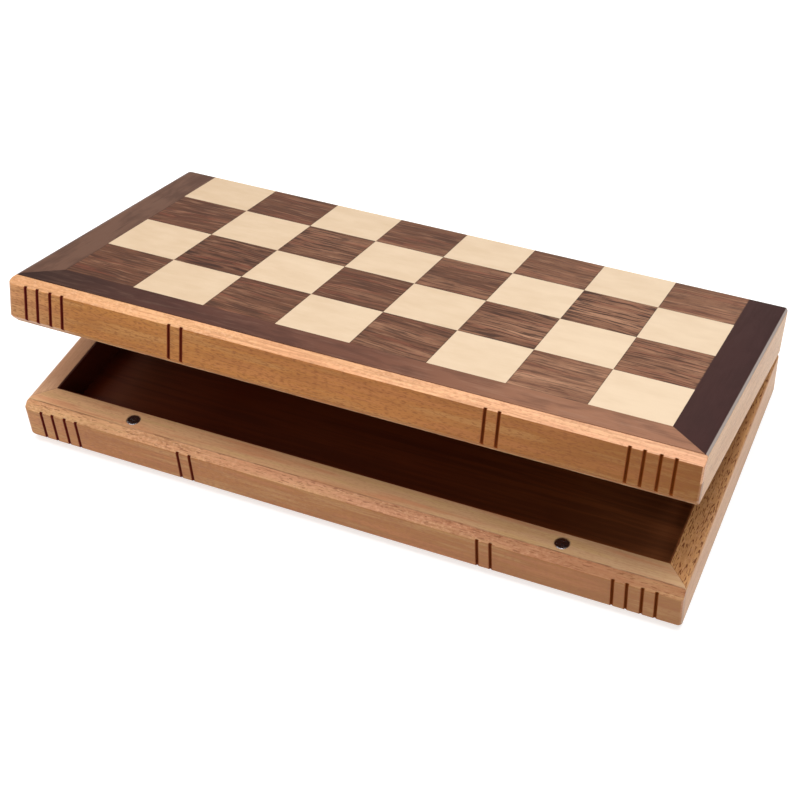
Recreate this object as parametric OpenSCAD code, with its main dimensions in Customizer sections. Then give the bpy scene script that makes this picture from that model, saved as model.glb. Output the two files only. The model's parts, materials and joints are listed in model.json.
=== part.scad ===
// Folding chess box: two equal beech trays joined by butt hinges along their long back edges. Shut, it holds
// the pieces; opened out flat and turned over, its two outer faces make one chessboard.
//
// The origin is the middle of the lower tray's underside, +X runs along the box, -Y is its front and +Z is up.
// Each tray is drawn in one local frame: x along the box, y = 0 at its back face with the front at -y, z = 0 on
// the rim and z = tray_height on the playing face. in_base() and in_lid() then set it in place.

/* [Trays] */
// Length of the box
tray_length = 379.4; // [360:0.2:400]
// Depth of one tray, from the hinged back to the front
tray_depth = 186.5; // [185:0.5:190]
// Height of one tray, from the rim to the playing face
tray_height = 27.5; // [25:0.5:34]
// Gap between the two trays, rim to rim when shut and back to back when flat
seam_gap = 0.4; // [0.3:0.05:0.6]
// Angle at which the lid stands open
lid_angle = 16.4; // [0:0.1:180]

/* [Playing board] */
// Side of a full square
square_size = 42; // [40:0.25:42]
// Depth of the row along the hinges, trimmed by the saw cut between the trays
hinge_row_depth = 38; // [36:0.5:42]
// Thickness of the veneer of the squares
veneer = 0.5; // [0.4:0.1:0.8]
// Thickness of the border strips, which are let into the frame and the panel
border_thickness = 1.2; // [0.9:0.1:1.5]
// Width left to an end border strip where its mitre meets the front edge
border_tip = 2; // [1:0.5:6]
// Thickness of the plywood panel under the veneer
panel_thickness = 5; // [4:0.5:6]

/* [Frame] */
// Width of the back and end rails
rail_width = 11.8; // [11:0.1:13]
// Width of the front rail
front_rail_width = 12.5; // [11.5:0.1:13.5]
// Width of the rebate that takes the panel
rebate_width = 6; // [4:0.5:7]
// Thickness of the strip that faces the front rail
facing_thickness = 4.8; // [4:0.1:5.2]
// How far the facing stays below the rim and below the playing face
facing_step = 0.4; // [0.2:0.1:0.5]
// Height of the facing's two chamfers, which run over its whole thickness
chamfer_height = 4; // [3:0.25:5]

/* [Rounded ends] */
// Radius on the left end edge of the playing face
left_end_radius = 5; // [1:0.25:5]
// Radius on the right end edge of the playing face
right_end_radius = 2; // [1:0.25:5]
// Radius on the left end edge of the rim
left_rim_radius = 3; // [1:0.25:4]
// Radius on the right end edge of the rim
right_rim_radius = 2; // [1:0.25:4]
// Radius on the left upright edge at the front
left_corner_radius = 2.75; // [0.5:0.25:3]
// Radius on the right upright edge at the front
right_corner_radius = 1.5; // [0.5:0.25:3]
// Radius on the two upright edges at the back
back_corner_radius = 2; // [1:0.25:4]
// Radius on the facing's left end, on the side where the kerfs stop
left_chamfer_radius = 1.25; // [0.5:0.25:3]
// Radius on the facing's right end, on the side where the kerfs stop
right_chamfer_radius = 0.5; // [0.5:0.25:3]
// Radius on the facing's left end, on the side where the kerfs run out
left_corner_round = 5.5; // [2:0.25:6]
// Radius on the facing's right end, on the side where the kerfs run out
right_corner_round = 2; // [1:0.25:4]

/* [Saw kerfs] */
// Distance between the two kerfs of a pair
kerf_pitch = 7.25; // [6:0.25:9]
// Width of a kerf
kerf_width = 1.3; // [1:0.1:2]
// Depth of a kerf
kerf_depth = 1.5; // [0.8:0.1:2]
// Distance from the tray's upper edge to the blind end of a kerf
kerf_stop = 3.8; // [3:0.1:8]
// Distance of the middle of each outer pair from the centre line
outer_pair = 173.8; // [170:0.2:176]
// Distance of the middle of each middle pair from the centre line
middle_pair = 158.6; // [150:0.2:160]
// Distance of the middle of each inner pair from the centre line
inner_pair = 86.8; // [70:0.2:110]
// Sideways shift of all the kerfs
kerf_shift = -0.9; // [-2:0.1:2]

/* [Linings] */
// Thickness of the lining on the floor
floor_lining = 0.6; // [0.4:0.1:1]
// Thickness of the lining on the walls
wall_lining = 0.8; // [0.5:0.1:1.2]
// How far the wall linings stop short of the rim
lining_setback = 0.3; // [0.2:0.1:1]

/* [Magnets] */
// Diameter of the closing magnets
magnet_d = 8; // [6:0.5:9]
// Thickness of the closing magnets
magnet_thickness = 3; // [2:0.5:5]
// How deep the magnets are sunk below the rim
magnet_sink = 0.2; // [0.1:0.1:1]
// Width of the bevel on a magnet's exposed edge
magnet_bevel = 0.4; // [0.2:0.1:0.6]
// Distance of each magnet from the centre line
magnet_x = 124; // [100:1:140]
// Distance of the magnets behind the front face
magnet_inset = 10.8; // [10:0.1:11.5]

/* [Hinges] */
// Distance of the middle of each hinge from the centre line
hinge_x = 115; // [90:1:140]
// Length of a hinge
hinge_length = 38; // [34:1:50]
// Width of a leaf, from the pin's axis
leaf_width = 11; // [10.5:0.1:11]
// Thickness of a leaf
leaf_thickness = 1.2; // [1:0.1:1.4]
// Outer diameter of the knuckles
knuckle_d = 4.2; // [4:0.1:4.6]
// Diameter of the pin
pin_d = 2; // [1.6:0.1:2.2]
// Gap between neighbouring knuckles
knuckle_gap = 0.3; // [0.3:0.05:0.5]
// Length of the screws
screw_length = 10; // [8:0.5:14]
// Diameter of a screw's shank
screw_d = 2.4; // [2:0.1:2.6]
// Diameter of a screw's countersunk head
screw_head_d = 4.4; // [4:0.1:4.6]
// Distance of each screw from the middle of its hinge
screw_spread = 12; // [9:0.5:13]

/* [Hidden] */
$fn = 64;
cut = 1;                        // overshoot of a cutting shape past the face it cuts
fit = 0.05;                     // clearance round what is let in, such as magnets, leaves and screws
pin_clearance = 0.05;           // between the pin and the knuckles it runs in
half_length = tray_length / 2;
columns = 8;
rows = 4;
board_half = square_size * columns / 2;
board_depth = hinge_row_depth + square_size * (rows - 1);
core_height = tray_height - veneer;
border_bottom = tray_height - border_thickness;
frame_depth = tray_depth - facing_thickness;
chamfer_end = facing_step + chamfer_height;
chamfer_slope = norm([facing_thickness, chamfer_height]);
inner_half = half_length - rail_width;
inner_back = rail_width;
inner_front = frame_depth - front_rail_width;
panel_bottom = core_height - panel_thickness;
wall_height = panel_bottom - floor_lining;
magnet_bore_depth = magnet_sink + magnet_thickness;
knuckles = 5;
knuckle_length = (hinge_length - (knuckles - 1) * knuckle_gap) / knuckles;
knuckle_step = knuckle_length + knuckle_gap;
knuckle_clearance = 0.35;       // between a knuckle and what turns past it
barrel_notch_margin = 0.7;      // of the notch in the rails past each end of a hinge
pin_overhang = 0.3;             // of the pin past each end of a hinge
countersink = 1;                // depth of a screw head's cone
screw_head_sink = 0.1;          // of a screw head below the leaf's face
screw_inset = 6.5;              // of the screws from the pin's axis
screw_slot_width = 0.6;
screw_slot_depth = 0.5;

base_nodes = [
    "base_front_rail", "base_back_rail", "base_left_rail", "base_right_rail", "base_front_facing",
    "base_board_panel", "base_light_squares", "base_dark_squares", "base_border_front",
    "base_border_left", "base_border_right", "base_floor_lining", "base_long_wall_linings",
    "base_short_wall_linings", "base_magnets"
];
lid_nodes = [
    "lid_front_rail", "lid_back_rail", "lid_left_rail", "lid_right_rail", "lid_front_facing",
    "lid_board_panel", "lid_light_squares", "lid_dark_squares", "lid_border_front",
    "lid_border_left", "lid_border_right", "lid_floor_lining", "lid_long_wall_linings",
    "lid_short_wall_linings", "lid_magnets"
];
hinge_nodes = [
    "left_hinge_base_leaf", "left_hinge_lid_leaf", "left_hinge_pin",
    "right_hinge_base_leaf", "right_hinge_lid_leaf", "right_hinge_pin",
    "base_hinge_screws", "lid_hinge_screws"
];

// Colours
beech = "#c59a6b";
beech_rim = "#d2a679";
walnut = "#6d4a3c";
maple = "#ecd3a6";
border_dark = "#3f2723";
border_brown = "#5d3f36";
lining_dark = "#38231c";
plywood = "#b98d5f";
brass = "#b8964a";
steel = "#43434a";

// ---------------------------------------------------------------------------------------------- placing

// Sets a tray's local frame as the lower tray: upside down, so that its playing face is its underside.
module in_base() {
    translate([0, (tray_depth + seam_gap) / 2, tray_height + seam_gap / 2])
        mirror([0, 0, 1])
            translate([0, -seam_gap / 2, seam_gap / 2]) children();
}

// Sets a tray's local frame as the lid, turned open about the pins' axis.
module in_lid() {
    translate([0, (tray_depth + seam_gap) / 2, tray_height + seam_gap / 2])
        rotate([-lid_angle, 0, 0])
            translate([0, -seam_gap / 2, seam_gap / 2]) children();
}

// Sets children at the pins' axis, in a tray's local frame.
module at_pin_axis() {
    translate([0, seam_gap / 2, -seam_gap / 2]) children();
}

// A cylinder along +X that starts at x = start.
module rod_x(start, length, d) {
    translate([start, 0, 0]) rotate([0, 90, 0]) cylinder(d = d, h = length);
}

// ---------------------------------------------------------------------------------------------- outer edges

// The waste outside a quarter round of radius r in the corner x < r, y < r of a prism of height h.
module quarter_round_waste(r, h) {
    translate([0, 0, -cut]) linear_extrude(h + 2 * cut) difference() {
        translate([-cut, -cut]) square(r + cut);
        translate([r, r]) circle(r);
    }
}

// The waste outside a quarter round along the left end of the plane z = 0.
module end_round_waste(r) {
    rotate([90, 0, 0]) quarter_round_waste(r, tray_depth);
}

// The radius along one end, at the rim (level 0) or at the playing face (level 1).
function edge_radius(side, level) = level == 0
    ? (side < 0 ? left_rim_radius : right_rim_radius)
    : (side < 0 ? left_end_radius : right_end_radius);

// What is rounded off one end of a tray: its rim edge, its playing edge and its two upright edges.
module end_edge_waste(side) {
    mirror([side < 0 ? 0 : 1, 0, 0]) translate([-half_length, 0, 0]) {
        end_round_waste(edge_radius(side, 0));
        translate([0, 0, tray_height]) mirror([0, 0, 1]) end_round_waste(edge_radius(side, 1));
        translate([0, -tray_depth, 0])
            quarter_round_waste(side < 0 ? left_corner_radius : right_corner_radius, tray_height);
        mirror([0, 1, 0]) quarter_round_waste(back_corner_radius, tray_height);
    }
}

// ---------------------------------------------------------------------------------------------- frame

// A flat piece of the tray between two heights, from its outline as [x, distance in front of the back face].
module slab(outline, low, high) {
    translate([0, 0, low]) linear_extrude(high - low) polygon([for (p = outline) [p[0], -p[1]]]);
}

// The space that the panel takes, which is also the rebate cut into the rails.
module panel_space() {
    width = 2 * (inner_half + rebate_width);
    depth = inner_front - inner_back + 2 * rebate_width;
    translate([-width / 2, -inner_front - rebate_width, panel_bottom]) cube([width, depth, panel_thickness]);
}

// The shallow bed that is cut round the squares for the border strips.
module border_bed() {
    difference() {
        translate([-half_length - cut, -frame_depth - cut, border_bottom])
            cube([tray_length + 2 * cut, frame_depth + 2 * cut, border_thickness + cut]);
        translate([-board_half, -board_depth, border_bottom - cut])
            cube([2 * board_half, board_depth + 2 * cut, border_thickness + 3 * cut]);
    }
}

module front_rail() {
    difference() {
        slab([
            [-inner_half, inner_front], [inner_half, inner_front],
            [half_length, frame_depth], [-half_length, frame_depth]
        ], 0, core_height);
        panel_space();
        border_bed();
        for (x = [-magnet_x, magnet_x]) translate([x, magnet_inset - tray_depth, -cut])
            cylinder(d = magnet_d + 2 * fit, h = magnet_bore_depth + cut);
        end_edge_waste(-1);
        end_edge_waste(1);
    }
}

module back_rail() {
    difference() {
        slab([[-half_length, 0], [half_length, 0], [inner_half, inner_back], [-inner_half, inner_back]],
            0, core_height);
        panel_space();
        border_bed();
        for (x = [-hinge_x, hinge_x]) translate([x, 0, 0]) hinge_mortise();
        end_edge_waste(-1);
        end_edge_waste(1);
    }
}

module end_rail(side) {
    difference() {
        slab([
            [side * half_length, 0], [side * half_length, frame_depth],
            [side * inner_half, inner_front], [side * inner_half, inner_back]
        ], 0, core_height);
        panel_space();
        border_bed();
        end_edge_waste(side);
    }
}

// One kerf of the facing, sawn from the height blind_end and running out at run_out.
module kerf(blind_end, run_out) {
    low = min(blind_end, run_out);
    translate([-kerf_width / 2, -cut, low]) cube([kerf_width, kerf_depth + cut, abs(run_out - blind_end)]);
}

function kerf_places() = [
    for (pair = [outer_pair, middle_pair, inner_pair]) for (side = [-1, 1]) for (half = [-0.5, 0.5])
        side * pair + half * kerf_pitch + kerf_shift
];

// The facing's section as [distance in front of the back face, height], drawn out along the box.
module facing_moulding() {
    translate([-half_length, 0, 0]) rotate([90, 0, 90]) linear_extrude(tray_length) polygon([
        [-frame_depth, facing_step],
        [-tray_depth, chamfer_end],
        [-tray_depth, tray_height - chamfer_end],
        [-frame_depth, tray_height - facing_step]
    ]);
}

// How far in the rounded edge of an end lies, at the height of the facing's step.
function step_inset(radius) = radius - sqrt(radius * radius - pow(radius - facing_step, 2));

// What is rounded off the left end of the facing at one level. The round of radius r leans outwards along
// the chamfer, so that beside the frame it cuts no deeper than the frame's own rounded edge.
module facing_end_waste(level, r, edge) {
    inset = min(r, 0.95 * step_inset(edge));
    reach = chamfer_slope + r * chamfer_height / facing_thickness;
    translate([-half_length, 0, level * tray_height]) mirror([0, 0, level])
        translate([0, -frame_depth, facing_step]) rotate([atan2(facing_thickness, chamfer_height), 0, 0])
            translate([inset, 0, 0]) rotate([0, atan2(r - inset, reach), 0]) translate([-r, 0, 0])
                quarter_round_waste(r, reach);
}

function facing_radius(side, runs_out) = runs_out
    ? (side < 0 ? left_corner_round : right_corner_round)
    : (side < 0 ? left_chamfer_radius : right_chamfer_radius);

module front_facing(blind_end, run_out) {
    out_level = run_out > blind_end ? 1 : 0;
    difference() {
        facing_moulding();
        for (side = [-1, 1]) {
            end_edge_waste(side);
            mirror([side < 0 ? 0 : 1, 0, 0]) for (level = [0, 1])
                facing_end_waste(level, facing_radius(side, level == out_level), edge_radius(side, level));
        }
        for (x = kerf_places()) translate([x, -tray_depth, 0]) kerf(blind_end, run_out);
    }
}

// ---------------------------------------------------------------------------------------------- board

module board_panel() {
    difference() {
        panel_space();
        border_bed();
    }
}

// The squares of one wood: parity 0 has the left square of the hinge row, parity 1 the square beside it.
module squares(parity) {
    for (column = [0:columns - 1]) for (row = [0:rows - 1]) if ((column + row) % 2 == parity) {
        near = row == 0 ? 0 : hinge_row_depth + (row - 1) * square_size;
        depth = row == 0 ? hinge_row_depth : square_size;
        translate([column * square_size - board_half, -near - depth, core_height])
            cube([square_size, depth, veneer]);
    }
}

// The front and end borders meet on a line from the corner of the squares to the front edge of the frame.
mitre_end = half_length - border_tip;

module border_front() {
    difference() {
        slab([
            [-board_half, board_depth], [board_half, board_depth],
            [mitre_end, frame_depth], [-mitre_end, frame_depth]
        ], border_bottom, tray_height);
        end_edge_waste(-1);
        end_edge_waste(1);
    }
}

module border_end(side) {
    difference() {
        slab([
            [side * board_half, 0], [side * half_length, 0], [side * half_length, frame_depth],
            [side * mitre_end, frame_depth], [side * board_half, board_depth]
        ], border_bottom, tray_height);
        end_edge_waste(side);
    }
}

// ---------------------------------------------------------------------------------------------- inside

module floor_lining_sheet() {
    translate([-inner_half, -inner_front, wall_height])
        cube([2 * inner_half, inner_front - inner_back, floor_lining]);
}

module long_wall_linings() {
    for (y = [-inner_front, -inner_back - wall_lining]) translate([-inner_half, y, lining_setback])
        cube([2 * inner_half, wall_lining, wall_height - lining_setback]);
}

module short_wall_linings() {
    length = inner_front - inner_back - 2 * wall_lining;
    for (x = [-inner_half, inner_half - wall_lining])
        translate([x, wall_lining - inner_front, lining_setback])
            cube([wall_lining, length, wall_height - lining_setback]);
}

module magnets() {
    for (x = [-magnet_x, magnet_x]) translate([x, magnet_inset - tray_depth, magnet_sink]) {
        cylinder(d1 = magnet_d - 2 * magnet_bevel, d2 = magnet_d, h = magnet_bevel);
        translate([0, 0, magnet_bevel]) cylinder(d = magnet_d, h = magnet_thickness - magnet_bevel);
    }
}

// ---------------------------------------------------------------------------------------------- hinges

// The places of a hinge's screws, in a tray's local frame with x from the middle of the hinge.
module at_screws() {
    for (x = [-screw_spread, screw_spread]) translate([x, seam_gap / 2 - screw_inset, 0]) children();
}

// What is cut from a back rail for one hinge: the leaf's bed, the barrel's notch and the screws' pilot holes.
module hinge_mortise() {
    bed = hinge_length + 2 * fit;
    translate([-bed / 2, seam_gap / 2 - leaf_width - fit, -cut])
        cube([bed, leaf_width + cut, leaf_thickness + cut]);
    notch = hinge_length + 2 * barrel_notch_margin;
    at_pin_axis() rod_x(-notch / 2, notch, knuckle_d + 2 * knuckle_clearance);
    at_screws() cylinder(d = screw_d + 2 * fit, h = screw_length + cut);
}

// One leaf with its knuckles. The knuckles are numbered from 0 at -x; first is 0 or 1, and every second one
// from there belongs to this leaf.
module hinge_leaf(first) {
    own = [for (k = [first:2:knuckles - 1]) k];
    other = [for (k = [1 - first:2:knuckles - 1]) k];
    bore = pin_d + 2 * pin_clearance;
    difference() {
        union() {
            translate([-hinge_length / 2, seam_gap / 2 - leaf_width, 0])
                cube([hinge_length, leaf_width, leaf_thickness]);
            at_pin_axis() for (k = own)
                rod_x(k * knuckle_step - hinge_length / 2, knuckle_length, knuckle_d);
        }
        at_pin_axis() for (k = other)
            rod_x(k * knuckle_step - knuckle_gap - hinge_length / 2, knuckle_length + 2 * knuckle_gap,
                knuckle_d + 2 * knuckle_clearance);
        at_pin_axis() rod_x(-hinge_length / 2 - cut, hinge_length + 2 * cut, bore);
        at_screws() {
            translate([0, 0, -cut]) cylinder(d = screw_d + 2 * fit, h = leaf_thickness + 2 * cut);
            translate([0, 0, -cut]) cylinder(d = screw_head_d + 2 * fit, h = screw_head_sink + cut);
            translate([0, 0, screw_head_sink])
                cylinder(d1 = screw_head_d + 2 * fit, d2 = screw_d + 2 * fit, h = countersink);
        }
    }
}

module hinge_pin() {
    at_pin_axis() rod_x(-hinge_length / 2 - pin_overhang, hinge_length + 2 * pin_overhang, pin_d);
}

// One countersunk screw with a cross slot, its head at the rim and its shank running into the rail.
module screw() {
    difference() {
        union() {
            translate([0, 0, screw_head_sink]) cylinder(d1 = screw_head_d, d2 = screw_d, h = countersink);
            translate([0, 0, screw_head_sink + countersink]) cylinder(d = screw_d, h = screw_length - countersink);
        }
        for (turn = [0, 90]) rotate(turn) translate([-0.35 * screw_head_d, -screw_slot_width / 2, -cut])
            cube([0.7 * screw_head_d, screw_slot_width, screw_head_sink + screw_slot_depth + cut]);
    }
}

module hinge_screws() {
    for (x = [-hinge_x, hinge_x]) translate([x, 0, 0]) at_screws() screw();
}

// ---------------------------------------------------------------------------------------------- lower tray

module base_front_rail() { color(beech_rim) in_base() front_rail(); }
module base_back_rail() { color(beech_rim) in_base() back_rail(); }
module base_left_rail() { color(beech_rim) in_base() end_rail(-1); }
module base_right_rail() { color(beech_rim) in_base() end_rail(1); }
module base_front_facing() { color(beech) in_base() front_facing(kerf_stop, tray_height + cut); }
module base_board_panel() { color(plywood) in_base() board_panel(); }
module base_light_squares() { color(maple) in_base() squares(1); }
module base_dark_squares() { color(walnut) in_base() squares(0); }
module base_border_front() { color(border_brown) in_base() border_front(); }
module base_border_left() { color(border_brown) in_base() border_end(-1); }
module base_border_right() { color(border_dark) in_base() border_end(1); }
module base_floor_lining() { color(lining_dark) in_base() floor_lining_sheet(); }
module base_long_wall_linings() { color(lining_dark) in_base() long_wall_linings(); }
module base_short_wall_linings() { color(lining_dark) in_base() short_wall_linings(); }
module base_magnets() { color(steel) in_base() magnets(); }

// ---------------------------------------------------------------------------------------------- lid

module lid_front_rail() { color(beech_rim) in_lid() front_rail(); }
module lid_back_rail() { color(beech_rim) in_lid() back_rail(); }
module lid_left_rail() { color(beech_rim) in_lid() end_rail(-1); }
module lid_right_rail() { color(beech_rim) in_lid() end_rail(1); }
module lid_front_facing() { color(beech) in_lid() front_facing(tray_height - kerf_stop, -cut); }
module lid_board_panel() { color(plywood) in_lid() board_panel(); }
module lid_light_squares() { color(maple) in_lid() squares(0); }
module lid_dark_squares() { color(walnut) in_lid() squares(1); }
module lid_border_front() { color(border_brown) in_lid() border_front(); }
module lid_border_left() { color(border_brown) in_lid() border_end(-1); }
module lid_border_right() { color(border_dark) in_lid() border_end(1); }
module lid_floor_lining() { color(lining_dark) in_lid() floor_lining_sheet(); }
module lid_long_wall_linings() { color(lining_dark) in_lid() long_wall_linings(); }
module lid_short_wall_linings() { color(lining_dark) in_lid() short_wall_linings(); }
module lid_magnets() { color(steel) in_lid() magnets(); }

// ---------------------------------------------------------------------------------------------- hinge parts

module left_hinge_base_leaf() { color(brass) in_base() translate([-hinge_x, 0, 0]) hinge_leaf(0); }
module left_hinge_lid_leaf() { color(brass) in_lid() translate([-hinge_x, 0, 0]) hinge_leaf(1); }
module left_hinge_pin() { color(brass) in_base() translate([-hinge_x, 0, 0]) hinge_pin(); }
module right_hinge_base_leaf() { color(brass) in_base() translate([hinge_x, 0, 0]) hinge_leaf(0); }
module right_hinge_lid_leaf() { color(brass) in_lid() translate([hinge_x, 0, 0]) hinge_leaf(1); }
module right_hinge_pin() { color(brass) in_base() translate([hinge_x, 0, 0]) hinge_pin(); }
module base_hinge_screws() { color(brass) in_base() hinge_screws(); }
module lid_hinge_screws() { color(brass) in_lid() hinge_screws(); }

base_front_rail();
base_back_rail();
base_left_rail();
base_right_rail();
base_front_facing();
base_board_panel();
base_light_squares();
base_dark_squares();
base_border_front();
base_border_left();
base_border_right();
base_floor_lining();
base_long_wall_linings();
base_short_wall_linings();
base_magnets();
lid_front_rail();
lid_back_rail();
lid_left_rail();
lid_right_rail();
lid_front_facing();
lid_board_panel();
lid_light_squares();
lid_dark_squares();
lid_border_front();
lid_border_left();
lid_border_right();
lid_floor_lining();
lid_long_wall_linings();
lid_short_wall_linings();
lid_magnets();
left_hinge_base_leaf();
left_hinge_lid_leaf();
left_hinge_pin();
right_hinge_base_leaf();
right_hinge_lid_leaf();
right_hinge_pin();
base_hinge_screws();
lid_hinge_screws();
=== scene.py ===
"""Looks of the folding chess box: woods, brass, studio light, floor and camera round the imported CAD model.

All lengths are in metres, in the CAD model's frame. Wood is painted in each tray's own coordinates:
x along the box, y = 0 at the back face with the front at -y, z = 0 on the rim and z = TRAY_HEIGHT
on the playing face.
"""
import json
import math

import bmesh
import bpy
from mathutils import Matrix, Vector

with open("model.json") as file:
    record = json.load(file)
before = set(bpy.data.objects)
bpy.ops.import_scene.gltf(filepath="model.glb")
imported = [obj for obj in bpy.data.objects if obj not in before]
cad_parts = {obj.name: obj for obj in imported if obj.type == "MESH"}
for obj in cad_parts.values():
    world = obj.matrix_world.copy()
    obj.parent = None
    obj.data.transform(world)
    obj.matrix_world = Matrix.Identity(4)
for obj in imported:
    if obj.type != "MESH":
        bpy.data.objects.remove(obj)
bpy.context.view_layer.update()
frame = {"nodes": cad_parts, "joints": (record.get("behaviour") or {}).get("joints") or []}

NODES = frame["nodes"]
HINGE = frame["joints"][0]
LID_ANGLE = -math.radians(HINGE["range_deg"][0])

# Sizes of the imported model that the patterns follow
TRAY_DEPTH = 0.1865
TRAY_HEIGHT = 0.0275
HALF_LENGTH = 0.1897
RAIL_WIDTH = 0.0118
FRONT_RAIL_WIDTH = 0.0125
FACING_THICKNESS = 0.0048
SEAM = 0.0004                   # gap between the shut trays
SQUARE = 0.042
HINGE_ROW = 0.038               # depth of the row of squares along the hinges
KERF_WIDTH = 0.0013
KERF_DEPTH = 0.0015
KERF_PITCH = 0.00725            # distance between the two kerfs of a pair
KERF_PAIRS = (0.1738, 0.1586, 0.0868)       # places of the pairs to each side of KERF_SHIFT
KERF_SHIFT = -0.0009
KERF_STOP = 0.0038              # distance from a kerf's blind end to the edge of the tray
FRAME_DEPTH = TRAY_DEPTH - FACING_THICKNESS
INNER_HALF = HALF_LENGTH - RAIL_WIDTH
INNER_FRONT = FRAME_DEPTH - FRONT_RAIL_WIDTH

# Sizes of the patterns themselves
KERF_MARGIN = 0.00004           # the kerfs' own walls lie on their limits, so the mask is this much wider
FACE_MARGIN = 0.00015           # the facing's bevels lie further back than this from its front face
KERF_DARK_EDGE = 0.0006               # width of the dark edge beside a kerf
FACING_GLUE = (0.0001, 0.0005)  # distances from the facing's glue line between which it fades out
MITRE_GLUE = (0.0001, 0.0004)   # the same for the mitres
RIM_GLUE = (0.0001, 0.0006)     # distances from the rim between which all glue lines fade out
RIM_PORES = (0.0002, 0.0012)    # distances from the rim between which pores thin out
EDGE_HIGHLIGHT_WIDTH = 0.0015             # width of the painted highlight on the border's edge at the right end
EDGE_HIGHLIGHT_FADE = 0.0004              # width over which the painted highlight turns pale
PLY = 0.0012                    # thickness of a ply
# Some of these sweeps carry painted light: light and shade on the facings, sheen on the front border and the
# squares, shade and light in the hollow
BOX_REACH = 0.19                # tones change along x from -reach to reach: on the box,
SQUARES_REACH = 0.17            # on its squares
HOLLOW_REACH = 0.18             # and in its hollow

# Studio
FLOOR_DROP = 0.0003             # the floor lies this much below the box
FLOOR_SIZE = 6
FLOOR_GLOW = 0.62
SKY_STRENGTH = 0.09
WHITE = (1, 1, 1, 1)

# Camera, fitted to the photograph
CAMERA_PLACE = (0.29164, -0.59557, 0.64016)
CAMERA_PITCH = 43.500
CAMERA_YAW = 26.196
CAMERA_ROLL = -3.737
CAMERA_LENS = 72.975
CAMERA_SENSOR = 36
CAMERA_CLIP = (0.01, 50)


def colour(red, green, blue):
    """A screen colour of 0 to 255 as the linear colour that a shader takes."""
    def linear(value):
        value /= 255
        return value / 12.92 if value <= 0.04045 else ((value + 0.055) / 1.055) ** 2.4
    return (linear(red), linear(green), linear(blue), 1)


# ---------------------------------------------------------------- material graph

class Graph:
    """One material and its nodes, with a short call for each kind of node."""

    def __init__(self, name, roughness=0.4, metallic=0.0, specular=0.5):
        self.material = bpy.data.materials.new(name)
        self.material.use_nodes = True
        self.tree = self.material.node_tree
        self.shader = self.tree.nodes["Principled BSDF"]
        self.shader.inputs["Roughness"].default_value = roughness
        self.shader.inputs["Metallic"].default_value = metallic
        self.shader.inputs["Specular IOR Level"].default_value = specular

    def node(self, kind, *values, **settings):
        """A new node whose first inputs are linked or set to the values."""
        made = self.tree.nodes.new("ShaderNode" + kind)
        for name, setting in settings.items():
            setattr(made, name, setting)
        for socket, value in zip(made.inputs, values):
            self.put(socket, value)
        return made

    def put(self, socket, value):
        """Links or sets an input to the value, or leaves it alone where the value is None."""
        if isinstance(value, bpy.types.NodeSocket):
            self.tree.links.new(value, socket)
        elif value is not None:
            socket.default_value = value

    def object_point(self):
        """The shaded point in its object's own coordinates: for a CAD node, in the frame and at rest."""
        return self.node("TexCoord").outputs["Object"]

    def tray_point(self, tray):
        """The shaded point in a tray's own coordinates."""
        hinge = Vector(HINGE["pos_m"])
        if tray == "base":
            turn = 0
            scale = (1, 1, -1)
            place = (0, -TRAY_DEPTH / 2, TRAY_HEIGHT)
        else:
            turn = LID_ANGLE
            scale = (1, 1, 1)
            place = Vector((0, SEAM / 2, -SEAM / 2)) - Matrix.Rotation(turn, 3, "X") @ hinge
        return self.node("Mapping", self.object_point(), place, (turn, 0, 0), scale).outputs[0]

    def noise(self, point, scale, detail, roughness, place=(0, 0, 0), distortion=0.0):
        """Noise with so many features per metre on each axis, started from the place."""
        stretched = self.node("Mapping", point, place, (0, 0, 0), scale).outputs[0]
        made = self.node("TexNoise", stretched)
        made.inputs["Scale"].default_value = 1
        made.inputs["Detail"].default_value = detail
        made.inputs["Roughness"].default_value = roughness
        made.inputs["Distortion"].default_value = distortion
        return made.outputs["Fac"]

    def math(self, operation, *values):
        return self.node("Math", *values, operation=operation).outputs[0]

    def vector(self, operation, *values):
        return self.node("VectorMath", *values, operation=operation).outputs[0]

    def parts(self, point):
        return self.node("SeparateXYZ", point).outputs

    def band(self, value, low, high, start=0.0, end=1.0):
        """The value moved smoothly from the range low to high onto start to end."""
        made = self.node("MapRange", value, low, high, start, end)
        made.interpolation_type = "SMOOTHSTEP"
        return made.outputs[0]

    def line(self, value, low, high, start=0.0, end=1.0):
        """The value moved evenly from the range low to high onto start to end."""
        return self.node("MapRange", value, low, high, start, end).outputs[0]

    def sweep(self, x, reach, start=0.0, end=1.0):
        """The value that goes evenly from start at -reach to end at reach."""
        return self.line(x, -reach, reach, start, end)

    def mix(self, share, first, second):
        made = self.tree.nodes.new("ShaderNodeMix")
        made.data_type = "RGBA"
        self.put(made.inputs[0], share)
        self.put(made.inputs[6], first)
        self.put(made.inputs[7], second)
        return made.outputs[2]

    def ramp(self, value, *stops):
        made = self.node("ValToRGB", value)
        elements = made.color_ramp.elements
        while len(elements) < len(stops):
            elements.new(0.5)
        for element, (position, shade) in zip(elements, stops):
            element.position = position
            element.color = shade
        return made.outputs[0]

    def blend(self, *shares):
        """The sum of values, each given with its share."""
        total = 0
        for value, share in shares:
            total = self.math("MULTIPLY_ADD", value, share, total)
        return total

    def bump(self, height, distance, strength, edge=0.0):
        """Surface relief, on edges that are softened over the radius edge where one is given."""
        made = self.node("Bump")
        made.inputs["Strength"].default_value = strength
        made.inputs["Distance"].default_value = distance
        self.put(made.inputs["Height"], height)
        if edge:
            soft = self.node("Bevel", edge, samples=4)
            self.put(made.inputs["Normal"], soft.outputs[0])
        self.put(self.shader.inputs["Normal"], made.outputs[0])

    def finish(self, shade, roughness=None):
        self.put(self.shader.inputs["Base Color"], shade)
        self.put(self.shader.inputs["Roughness"], roughness)
        return self.material


def along(axis, length, across):
    """Scale of a pattern, in features per metre along the grain and across it."""
    return (length, across, across) if axis == "x" else (across, length, across)


# ---------------------------------------------------------------- beech

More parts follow.
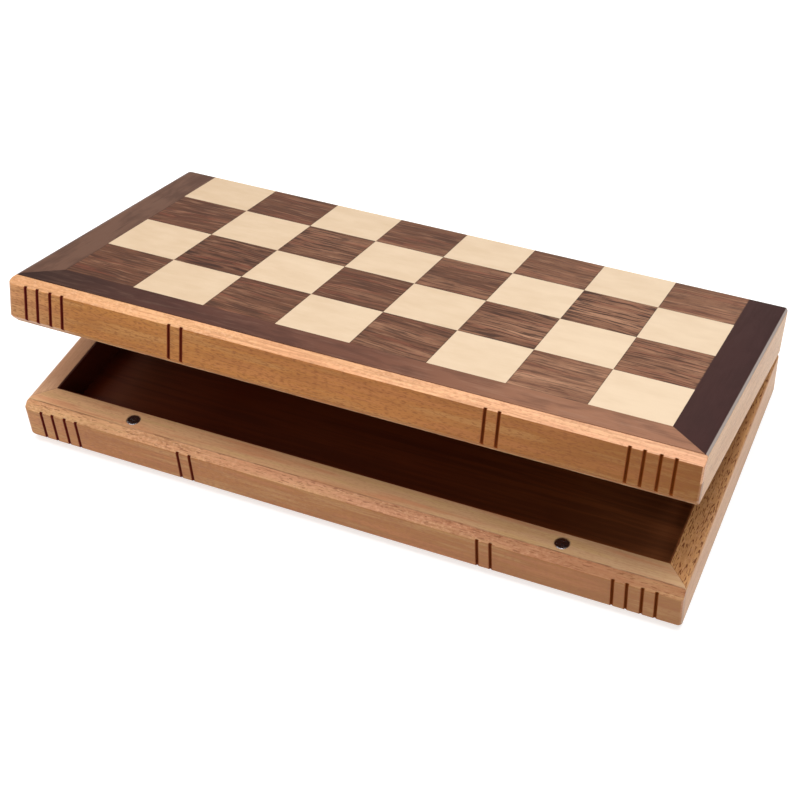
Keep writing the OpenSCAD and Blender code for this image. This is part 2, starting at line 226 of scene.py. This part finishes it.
def beech(name, tray, axis, tones, dark, lit_bevel_tones=None,
          flecks=0.5, pores=0.0, mottle=0.0, streaks=0.0, seed=0.0):
    """Beech with grain and short flecks. Its tones run from left to right, or from front to back where the
    grain does. Only a facing has bevel tones, a painted highlight on it away from its front face, and with
    them kerfs. Its upper bevel is the one that is on top as the box stands: next to the lid's playing face
    and next to the base's rim."""
    graph = Graph(name, specular=0.25)
    point = graph.tray_point(tray)
    moved = graph.vector("ADD", point, (seed, seed * 1.7, seed * 0.6))
    x, y, z = graph.parts(point)
    place = graph.sweep(x, BOX_REACH) if axis == "x" else graph.line(y, -TRAY_DEPTH, 0)
    shade = graph.ramp(place, *tones)
    upper_bevel = None
    if lit_bevel_tones:
        off_face = graph.math("GREATER_THAN", y, -TRAY_DEPTH + FACE_MARGIN)
        upper = graph.math("GREATER_THAN" if tray == "lid" else "LESS_THAN", z, TRAY_HEIGHT / 2)
        upper_bevel = graph.math("MULTIPLY", off_face, upper)
        # Painted highlight: away from its front face the facing takes the bevel tones, in full on its upper
        # half and a fifth as strong on its lower half
        share = graph.math("MULTIPLY", off_face, graph.line(upper, 0, 1, 0.2, 1))
        shade = graph.mix(share, shade, graph.ramp(place, *lit_bevel_tones))
        flecks = graph.line(off_face, 0, 1, flecks, flecks * 0.35)
    if streaks:
        shade = streaked(graph, shade, moved, axis, streaks)
    broad = graph.noise(moved, along(axis, 6, 70), 3, 0.55)
    fine = graph.noise(moved, along(axis, 32, 1000), 3, 0.6)
    patch = graph.noise(moved, along(axis, 45, 110), 2, 0.5)
    tone = graph.blend((broad, 0.4), (fine, 0.5), (patch, 0.1))
    shade = graph.mix(graph.band(tone, 0.36, 0.58, 0.45, 0), shade, dark)
    rays = graph.noise(moved, along(axis, 330, 1400), 1.5, 0.5)
    near = graph.noise(moved, along(axis, 40, 90), 2, 0.5, (3, 5, 7))
    level = graph.blend((rays, 1.0), (near, 0.06))
    fleck = graph.math("MULTIPLY", graph.band(level, 0.54, 0.66), flecks)
    shade = graph.mix(fleck, shade, dark)
    if mottle:
        shade = speckled(graph, shade, moved, axis, mottle, place, upper_bevel)
    if pores:
        shade = pored(graph, shade, moved, axis, pores, z, upper_bevel)
    roughness = graph.band(tone, 0.3, 0.7, 0.42, 0.34)
    if lit_bevel_tones:
        kerf = kerf_mask(graph, tray, x, y, z)
        # The kerfs and a narrow edge beside each are painted dark red-brown, darker towards the left end
        kerf_dark = graph.ramp(place, (0, colour(100, 10, 0)), (1, colour(122, 58, 0)))
        shade = graph.mix(kerf, shade, kerf_dark)
        roughness = graph.math("MAXIMUM", roughness, kerf)
    shade = graph.mix(joint_mask(graph, moved, x, y, z), shade, colour(128, 78, 48))
    graph.bump(graph.blend((fine, 1.0), (rays, 0.6)), 0.00006, 0.5, edge=0.0005)
    return graph.finish(shade, roughness)


def streaked(graph, shade, point, axis, amount):
    """The shade with reddish and yellowish streaks along the grain."""
    warm = graph.noise(point, along(axis, 16, 230), 3, 0.55, (2, 6, 1))
    shade = graph.mix(graph.band(warm, 0.50, 0.66, 0, amount), shade, colour(196, 122, 84))
    return graph.mix(graph.band(warm, 0.50, 0.36, 0, amount), shade, colour(196, 162, 108))


def speckled(graph, shade, point, axis, amount, place, upper_bevel):
    """The shade with dark and pale speckles, of which the pale ones thin out where the place nears 1. On a
    facing most are on the upper bevel."""
    speckle = graph.noise(point, along(axis, 480, 680), 2, 0.6)
    near = graph.noise(point, along(axis, 24, 60), 2, 0.5, (1, 4, 2))
    share = graph.band(near, 0.38, 0.58, amount * 0.25, amount)
    if upper_bevel is not None:
        share = graph.math("MULTIPLY", share, graph.line(upper_bevel, 0, 1, 0.15, 1))
    pale = graph.math("MULTIPLY", graph.band(speckle, 0.48, 0.36), graph.line(place, 0.4, 0.9, 1, 0.25))
    shade = graph.mix(graph.math("MULTIPLY", pale, share), shade, colour(228, 182, 146))
    spots = graph.math("MULTIPLY", graph.band(speckle, 0.53, 0.68), share)
    return graph.mix(spots, shade, colour(146, 82, 50))


def pored(graph, shade, point, axis, amount, z, upper_bevel):
    """The shade with open pores: on a facing's upper bevel, or all over a rail but mostly on its rim."""
    holes = graph.noise(point, along(axis, 230, 1700), 1, 0.5)
    near = graph.noise(point, along(axis, 30, 160), 2, 0.5, (4, 1, 2))
    level = graph.blend((holes, 1.0), (near, 0.2))
    if upper_bevel is not None:
        exposed = graph.math("MULTIPLY", upper_bevel, amount)
        threshold = 0.71
    else:
        exposed = graph.band(graph.math("ABSOLUTE", z), *RIM_PORES, amount, amount * 0.25)
        threshold = 0.67
    hole = graph.math("MULTIPLY", graph.band(level, threshold, threshold + 0.06), exposed)
    return graph.mix(hole, shade, colour(104, 48, 22))


def kerf_mask(graph, tray, x, y, z):
    """1 in the saw kerfs, fading out over a narrow dark edge beside each, and 0 elsewhere."""
    side = graph.math("ABSOLUTE", graph.math("SUBTRACT", x, KERF_SHIFT))
    offsets = [graph.math("ABSOLUTE", graph.math("SUBTRACT", side, pair)) for pair in KERF_PAIRS]
    nearest = graph.math("MINIMUM", graph.math("MINIMUM", *offsets[:2]), offsets[2])
    offset = graph.math("ABSOLUTE", graph.math("SUBTRACT", nearest, KERF_PITCH / 2))
    inside = graph.band(offset, KERF_WIDTH / 2 + KERF_MARGIN, KERF_WIDTH / 2 + KERF_DARK_EDGE, 1, 0)
    shallow = graph.math("LESS_THAN", y, -TRAY_DEPTH + KERF_DEPTH + KERF_MARGIN)
    if tray == "base":
        sawn = graph.math("GREATER_THAN", z, KERF_STOP - KERF_MARGIN)
    else:
        sawn = graph.math("LESS_THAN", z, TRAY_HEIGHT - KERF_STOP + KERF_MARGIN)
    return graph.math("MULTIPLY", graph.math("MULTIPLY", inside, sawn), shallow)


def joint_mask(graph, point, x, y, z):
    """Faint, uneven glue lines on the rim: along the facing, and along the mitres of the rails."""
    rim = graph.band(graph.math("ABSOLUTE", z), *RIM_GLUE, 1, 0)
    front = graph.band(graph.math("ABSOLUTE", graph.math("ADD", y, FRAME_DEPTH)), *FACING_GLUE, 0.8, 0)
    mitre = graph.math("ADD", graph.math("ABSOLUTE", x), y)
    mitre = graph.math("ABSOLUTE", graph.math("SUBTRACT", mitre, INNER_HALF - INNER_FRONT))
    mitre = graph.band(mitre, *MITRE_GLUE, 0.7, 0)
    wear = graph.band(graph.noise(point, (90, 90, 90), 2, 0.6), 0.4, 0.6, 0.25, 1)
    return graph.math("MULTIPLY", graph.math("MULTIPLY", rim, wear), graph.math("MAXIMUM", front, mitre))


# ---------------------------------------------------------------- squares

def in_squares(graph, point):
    """The point in units of a square, with whole numbers on the edges of the squares."""
    scaled = graph.vector("SCALE", graph.vector("ADD", point, (0, HINGE_ROW - SQUARE, 0)))
    scaled.node.inputs["Scale"].default_value = 1 / SQUARE
    return graph.vector("MULTIPLY", scaled, (1, 1, 0))


def chance_of(graph, place):
    """Random colour and value of the square that the place is in."""
    return graph.node("TexWhiteNoise", graph.vector("FLOOR", place)).outputs


def rise_from_edge(graph, place):
    """0 on the edges of the square that the place is in, rising to 0.5 in its middle."""
    x, y = graph.parts(place)[:2]
    return graph.math("MINIMUM", graph.math("PINGPONG", x, 0.5), graph.math("PINGPONG", y, 0.5))


def walnut(name, tray):
    """Walnut veneer with short dark strokes, whose slope, depth and tone differ from square to square."""
    graph = Graph(name, specular=0.18)
    point = graph.tray_point(tray)
    place = in_squares(graph, point)
    chance = chance_of(graph, place)["Color"]
    chance_of_stroke, chance_of_lean, chance_of_tone = graph.parts(chance)
    shifted = graph.vector("ADD", point, chance)
    warp = graph.noise(shifted, (22, 36, 1), 2, 0.5)
    x, y = graph.parts(shifted)[:2]
    lean = graph.math("MULTIPLY", x, graph.line(chance_of_lean, 0, 1, -0.07, 0.07))
    bent = graph.blend((y, 1.0), (lean, 1.0), (warp, 0.007))
    grain = graph.node("CombineXYZ", x, bent, 0).outputs[0]
    wide = graph.noise(grain, (9, 110, 1), 2, 0.5)
    # Lighter towards the right: painted sheen of light from the right, over some of the veneer's own tone
    across = graph.sweep(graph.parts(point)[0], SQUARES_REACH)
    shade = graph.ramp(
        graph.blend((wide, 0.65), (chance_of_tone, 0.10), (across, 0.25)),
        (0.33, colour(85, 52, 36)),
        (0.47, colour(99, 64, 45)),
        (0.61, colour(129, 90, 67)),
        (0.75, colour(165, 123, 95)),
    )
    red = graph.noise(grain, (14, 200, 1), 3, 0.6, (0.3, 0.7, 0))
    shade = graph.mix(graph.band(red, 0.50, 0.66, 0, 0.4), shade, colour(122, 66, 48))
    streaks = graph.noise(grain, (45, 560, 1), 2, 0.5)
    shade = graph.mix(graph.band(streaks, 0.54, 0.68, 0, 0.35), shade, colour(160, 118, 90))
    strokes = graph.noise(grain, (45, 720, 1), 1.5, 0.5, (0.4, 0.1, 0))
    depth = graph.band(chance_of_stroke, 0.1, 0.9, 0.5, 0.9)
    stroke = graph.math("MULTIPLY", graph.band(strokes, 0.50, 0.58), depth)
    shade = graph.mix(stroke, shade, colour(50, 28, 19))
    pores = graph.noise(grain, (170, 1500, 1), 2, 0.6)
    shade = graph.mix(graph.band(pores, 0.54, 0.66, 0, 0.5), shade, colour(52, 29, 20))
    edge = graph.band(rise_from_edge(graph, place), 0.004, 0.014, 0.6, 0)
    shade = graph.mix(edge, shade, colour(44, 25, 18))
    graph.bump(pores, 0.00005, 0.4)
    return graph.finish(shade, graph.band(streaks, 0.3, 0.7, 0.52, 0.42))


def maple(name, tray):
    """Maple veneer: pale, faintly mottled, with hardly any grain."""
    graph = Graph(name, specular=0.3)
    point = graph.tray_point(tray)
    chance = chance_of(graph, in_squares(graph, point))
    shifted = graph.vector("ADD", point, chance["Color"])
    cloud = graph.noise(shifted, (45, 90, 1), 3, 0.55)
    fibre = graph.noise(shifted, (60, 1000, 1), 3, 0.6)
    # Lighter towards the right: painted sheen of light from the right, over some of the veneer's own tone
    across = graph.sweep(graph.parts(point)[0], SQUARES_REACH)
    tone = graph.blend((cloud, 0.4), (fibre, 0.1), (chance["Value"], 0.05), (across, 0.25))
    shade = graph.ramp(tone, (0.16, colour(190, 163, 132)), (0.56, colour(209, 186, 158)))
    graph.bump(fibre, 0.00002, 0.2)
    return graph.finish(shade, graph.band(cloud, 0.3, 0.7, 0.45, 0.38))


# ---------------------------------------------------------------- borders, linings, panels and metal

def border(name, tray, axis, tones, bright=0.0, seed=0.0):
    """Dark border strip: faint grain and clouds along it, tones that run from left to right, with painted
    sheen in those of the front strip, and an outer edge on the right painted pale as a highlight of light on
    its rounded edge."""
    graph = Graph(name, specular=0.12)
    point = graph.tray_point(tray)
    moved = graph.vector("ADD", point, (seed, seed, seed))
    fine = graph.noise(moved, along(axis, 26, 900), 4, 0.65)
    cloud = graph.noise(moved, along(axis, 30, 90), 3, 0.6, distortion=0.5)
    x = graph.parts(point)[0]
    shade = graph.ramp(graph.sweep(x, BOX_REACH), *tones)
    tone = graph.blend((fine, 0.3), (cloud, 0.7))
    shade = graph.mix(graph.band(tone, 0.38, 0.56, 0.35, 0.0), shade, colour(44, 26, 23))
    if bright:
        streaks = graph.noise(moved, along(axis, 50, 420), 3, 0.6, (1, 2, 3))
        strength = graph.sweep(x, BOX_REACH, bright * 0.4, bright)
        share = graph.math("MULTIPLY", graph.band(streaks, 0.50, 0.68), strength)
        shade = graph.mix(share, shade, colour(158, 124, 104))
    # Painted highlight: the outer edge at the right end turns pale grey, standing in for light caught on its
    # rounded edge
    highlight_from = HALF_LENGTH - EDGE_HIGHLIGHT_WIDTH
    edge_highlight = graph.band(x, highlight_from, highlight_from + EDGE_HIGHLIGHT_FADE, 0, 0.6)
    shade = graph.mix(edge_highlight, shade, colour(182, 170, 162))
    graph.bump(fine, 0.00004, 0.4)
    return graph.finish(shade, graph.band(tone, 0.3, 0.7, 0.52, 0.42))


def lining(name, tray):
    """Dark stained veneer that lines the trays, with painted shade and light along it."""
    graph = Graph(name, specular=0.25)
    point = graph.tray_point(tray)
    fine = graph.noise(point, (20, 500, 500), 4, 0.6)
    wide = graph.noise(point, (5, 60, 60), 3, 0.5)
    tone = graph.blend((fine, 0.5), (wide, 0.5))
    # Painted shade and light along x: near-black at the left end, a paler patch of painted reflection just
    # right of it, lighter towards the right end
    shade = graph.ramp(
        graph.sweep(graph.parts(point)[0], HOLLOW_REACH),
        (0.0, colour(60, 17, 5)),
        (0.03, colour(86, 30, 7)),
        (0.07, colour(106, 52, 28)),
        (0.14, colour(98, 42, 20)),
        (0.24, colour(88, 33, 9)),
        (0.4, colour(100, 43, 18)),
        (0.6, colour(101, 44, 18)),
        (0.8, colour(112, 56, 25)),
        (1.0, colour(144, 87, 50)),
    )
    shade = graph.mix(graph.band(tone, 0.38, 0.60, 0.5, 0.0), shade, colour(54, 18, 6))
    graph.bump(fine, 0.00005, 0.4)
    return graph.finish(shade, graph.band(tone, 0.3, 0.7, 0.5, 0.42))


def plywood(name, tray):
    """Birch plywood, with its plies showing on its edges."""
    graph = Graph(name, roughness=0.55, specular=0.3)
    point = graph.tray_point(tray)
    ply = graph.math("PINGPONG", graph.parts(point)[2], PLY)
    grain = graph.noise(point, (25, 600, 600), 3, 0.6)
    shade = graph.ramp(grain, (0.3, colour(205, 170, 128)), (0.7, colour(226, 196, 156)))
    shade = graph.mix(graph.band(ply, PLY / 3, PLY * 2 / 3, 0, 0.4), shade, colour(170, 128, 88))
    graph.bump(grain, 0.00005, 0.4)
    return graph.finish(shade)


def metal(name, bright, dark, roughness, scratches, edge=0.0):
    """Brushed or ground metal with light wear, and soft edges where a radius is given."""
    graph = Graph(name, metallic=1.0)
    point = graph.object_point()
    brushed = graph.noise(point, (180, 2600, 2600), 3, 0.6)
    cloud = graph.noise(point, (160, 160, 160), 3, 0.6)
    shade = graph.mix(graph.band(cloud, 0.35, 0.7), bright, dark)
    graph.bump(brushed, 0.00003, scratches, edge)
    return graph.finish(shade, graph.band(brushed, 0.3, 0.7, roughness + 0.08, roughness - 0.08))


# ---------------------------------------------------------------- finish of every node

def give(material, *names):
    for name in names:
        slots = NODES[name].data.materials
        slots.clear()
        slots.append(material)


def dress_facing(tray):
    if tray == "lid":
        # Face tones: the wood's own tone, with painted light at the left end falling off to painted shade at
        # the right end
        face = (
            (0.0, colour(200, 142, 92)),
            (0.11, colour(177, 115, 51)),
            (0.6, colour(168, 107, 51)),
            (1.0, colour(125, 76, 26)),
        )
        # These bevel tones are a painted highlight, a lit copy of the face's beech, brightest left of the
        # middle
        lit_bevel = ((0.0, colour(196, 143, 96)), (0.4, colour(226, 168, 120)), (1.0, colour(210, 157, 118)))
        dark = colour(126, 72, 32)
        look = {"flecks": 0.6, "mottle": 0.25, "streaks": 0.15, "seed": 1.3}
    else:
        # Face tones: the wood's own tone, with painted light at the left end falling off to painted shade at
        # the right end
        face = ((0.0, colour(188, 132, 75)), (0.12, colour(168, 107, 51)), (1.0, colour(146, 98, 50)))
        # These bevel tones are a painted highlight, a lit copy of the face's beech, fading towards the right
        # end
        lit_bevel = ((0.0, colour(214, 164, 117)), (0.5, colour(198, 143, 108)), (1.0, colour(166, 116, 77)))
        dark = colour(142, 86, 52)
        look = {"flecks": 0.5, "mottle": 0.36, "streaks": 0.25, "pores": 0.5, "seed": 4.1}
    facing = beech(tray + "_facing_beech", tray, "x", face, dark, lit_bevel, **look)
    give(facing, tray + "_front_facing")


def dress_rails(tray):
    """The long rails share one beech, and each short rail has its own. Only the right one has open pores."""
    long = ((0.0, colour(216, 168, 125)), (0.5, colour(199, 155, 115)), (1.0, colour(196, 160, 123)))
    # Left rail tones: lighter only at the front end and darker towards the back, painted shade where the
    # raised lid shadows the rim
    left = ((0.03, colour(212, 168, 132)), (0.15, colour(190, 143, 110)), (1.0, colour(180, 134, 98)))
    if tray == "lid":
        right = ((0.0, colour(204, 158, 106)), (1.0, colour(200, 154, 104)))
    else:
        right = ((0.0, colour(196, 146, 94)), (1.0, colour(198, 147, 94)))
    streaky = {"flecks": 0.3, "streaks": 0.5, "seed": 2.2}
    even = {"flecks": 0.3, "seed": 3.4}
    porous = {"flecks": 0.4, "pores": 0.9, "mottle": 0.15, "seed": 5.2}
    give(beech(tray + "_rim_beech", tray, "x", long, colour(172, 122, 84), **streaky),
         tray + "_front_rail", tray + "_back_rail")
    give(beech(tray + "_left_beech", tray, "y", left, colour(168, 118, 82), **even),
         tray + "_left_rail")
    give(beech(tray + "_right_beech", tray, "y", right, colour(160, 106, 70), **porous),
         tray + "_right_rail")


def dress_board(tray):
    give(plywood(tray + "_plywood", tray), tray + "_board_panel")
    give(maple(tray + "_maple", tray), tray + "_light_squares")
    give(walnut(tray + "_walnut", tray), tray + "_dark_squares")


def dress_borders(tray):
    # Front tones: the veneer's own tone with painted sheen, dark at the left end and lighter towards the
    # right
    front = (
        (0.0, colour(46, 29, 23)),
        (0.25, colour(75, 45, 37)),
        (0.55, colour(103, 66, 51)),
        (0.8, colour(137, 95, 72)),
        (1.0, colour(140, 98, 75)),
    )
    sides = ((0.0, colour(99, 71, 57)), (1.0, colour(52, 27, 25)))
    give(border(tray + "_front_border", tray, "x", front, bright=0.2), tray + "_border_front")
    give(border(tray + "_side_border", tray, "y", sides, seed=2.6),
         tray + "_border_left", tray + "_border_right")


def dress_hollow(tray):
    pieces = ("floor_lining", "long_wall_linings", "short_wall_linings")
    give(lining(tray + "_lining", tray), *(tray + "_" + piece for piece in pieces))


def dress_metal():
    brass = metal("brass", colour(214, 176, 92), colour(176, 136, 62), 0.32, 0.3)
    magnet = metal("magnet_nickel", colour(196, 194, 198), colour(150, 146, 150), 0.2, 0.1, edge=0.0009)
    give(brass, "base_hinge_screws", "lid_hinge_screws")
    for side in ("left", "right"):
        give(brass, *(side + "_hinge_" + part for part in ("base_leaf", "lid_leaf", "pin")))
    give(magnet, "base_magnets", "lid_magnets")


# ---------------------------------------------------------------- studio

def studio_floor():
    """A wide pale floor, a hair below the box, with a faint softness in its tone."""
    mesh = bpy.data.meshes.new("floor")
    build = bmesh.new()
    bmesh.ops.create_grid(build, x_segments=8, y_segments=8, size=FLOOR_SIZE)
    build.to_mesh(mesh)
    build.free()
    floor = bpy.data.objects.new("floor", mesh)
    floor.location.z = -FLOOR_DROP
    bpy.context.scene.collection.objects.link(floor)
    graph = Graph("floor_paper", roughness=0.7, specular=0.2)
    tone = graph.noise(graph.object_point(), (3, 3, 3), 2, 0.5)
    shade = graph.ramp(tone, (0.3, (0.49, 0.49, 0.49, 1)), (0.7, (0.51, 0.51, 0.51, 1)))
    graph.shader.inputs["Emission Color"].default_value = WHITE
    graph.shader.inputs["Emission Strength"].default_value = FLOOR_GLOW
    mesh.materials.append(graph.finish(shade))


def soft_box(name, place, target, width, height, watts):
    """A rectangular light at the place that points at the target."""
    light = bpy.data.lights.new(name, "AREA")
    light.shape = "RECTANGLE"
    light.size = width
    light.size_y = height
    light.energy = watts
    holder = bpy.data.objects.new(name, light)
    holder.location = place
    holder.rotation_mode = "QUATERNION"
    holder.rotation_quaternion = (Vector(target) - Vector(place)).to_track_quat("-Z", "Y")
    bpy.context.scene.collection.objects.link(holder)


def studio_light():
    """A dim white sky and six soft boxes, of which the wide bank overhead is the strongest."""
    world = bpy.data.worlds.new("studio")
    world.use_nodes = True
    sky = world.node_tree.nodes["Background"]
    sky.inputs["Color"].default_value = WHITE
    sky.inputs["Strength"].default_value = SKY_STRENGTH
    bpy.context.scene.world = world
    soft_box("bank", (-0.15, 0.05, 1.5), (-0.15, 0.05, 0), 2.4, 1.1, 23)
    soft_box("key", (0.2, -0.05, 1.4), (0.1, 0, 0), 0.7, 0.7, 5)
    soft_box("back", (-0.1, 0.9, 1.3), (0, 0, 0), 1.2, 1.2, 10)
    soft_box("left", (-1.4, -0.4, 0.55), (0, 0, 0), 1.0, 0.8, 5)
    soft_box("right", (0.85, -0.8, 0.4), (0.1, -0.05, 0), 0.5, 0.5, 3)
    soft_box("front", (0.0, -0.95, 1.3), (0, 0, 0), 1.0, 0.5, 4)


def studio_camera():
    """The fitted camera, which looks down by its pitch, to the left by its yaw, and is rolled."""
    data = bpy.data.cameras.new("camera")
    data.sensor_width = CAMERA_SENSOR
    data.lens = CAMERA_LENS
    data.clip_start, data.clip_end = CAMERA_CLIP
    camera = bpy.data.objects.new("camera", data)
    pitch, yaw, roll = (math.radians(angle) for angle in (CAMERA_PITCH, CAMERA_YAW, CAMERA_ROLL))
    level = Vector((math.cos(yaw), math.sin(yaw), 0))
    forward = Vector((
        -math.sin(yaw) * math.cos(pitch),
        math.cos(yaw) * math.cos(pitch),
        -math.sin(pitch),
    ))
    upright = level.cross(forward)
    right = math.cos(roll) * level + math.sin(roll) * upright
    up = math.cos(roll) * upright - math.sin(roll) * level
    turn = Matrix((right, up, -forward)).transposed()
    camera.matrix_world = Matrix.Translation(CAMERA_PLACE) @ turn.to_4x4()
    bpy.context.scene.collection.objects.link(camera)
    bpy.context.scene.camera = camera


for tray in ("base", "lid"):
    dress_facing(tray)
    dress_rails(tray)
    dress_board(tray)
    dress_borders(tray)
    dress_hollow(tray)
dress_metal()
studio_floor()
studio_light()
studio_camera()
bpy.context.scene.view_settings.view_transform = "Standard"
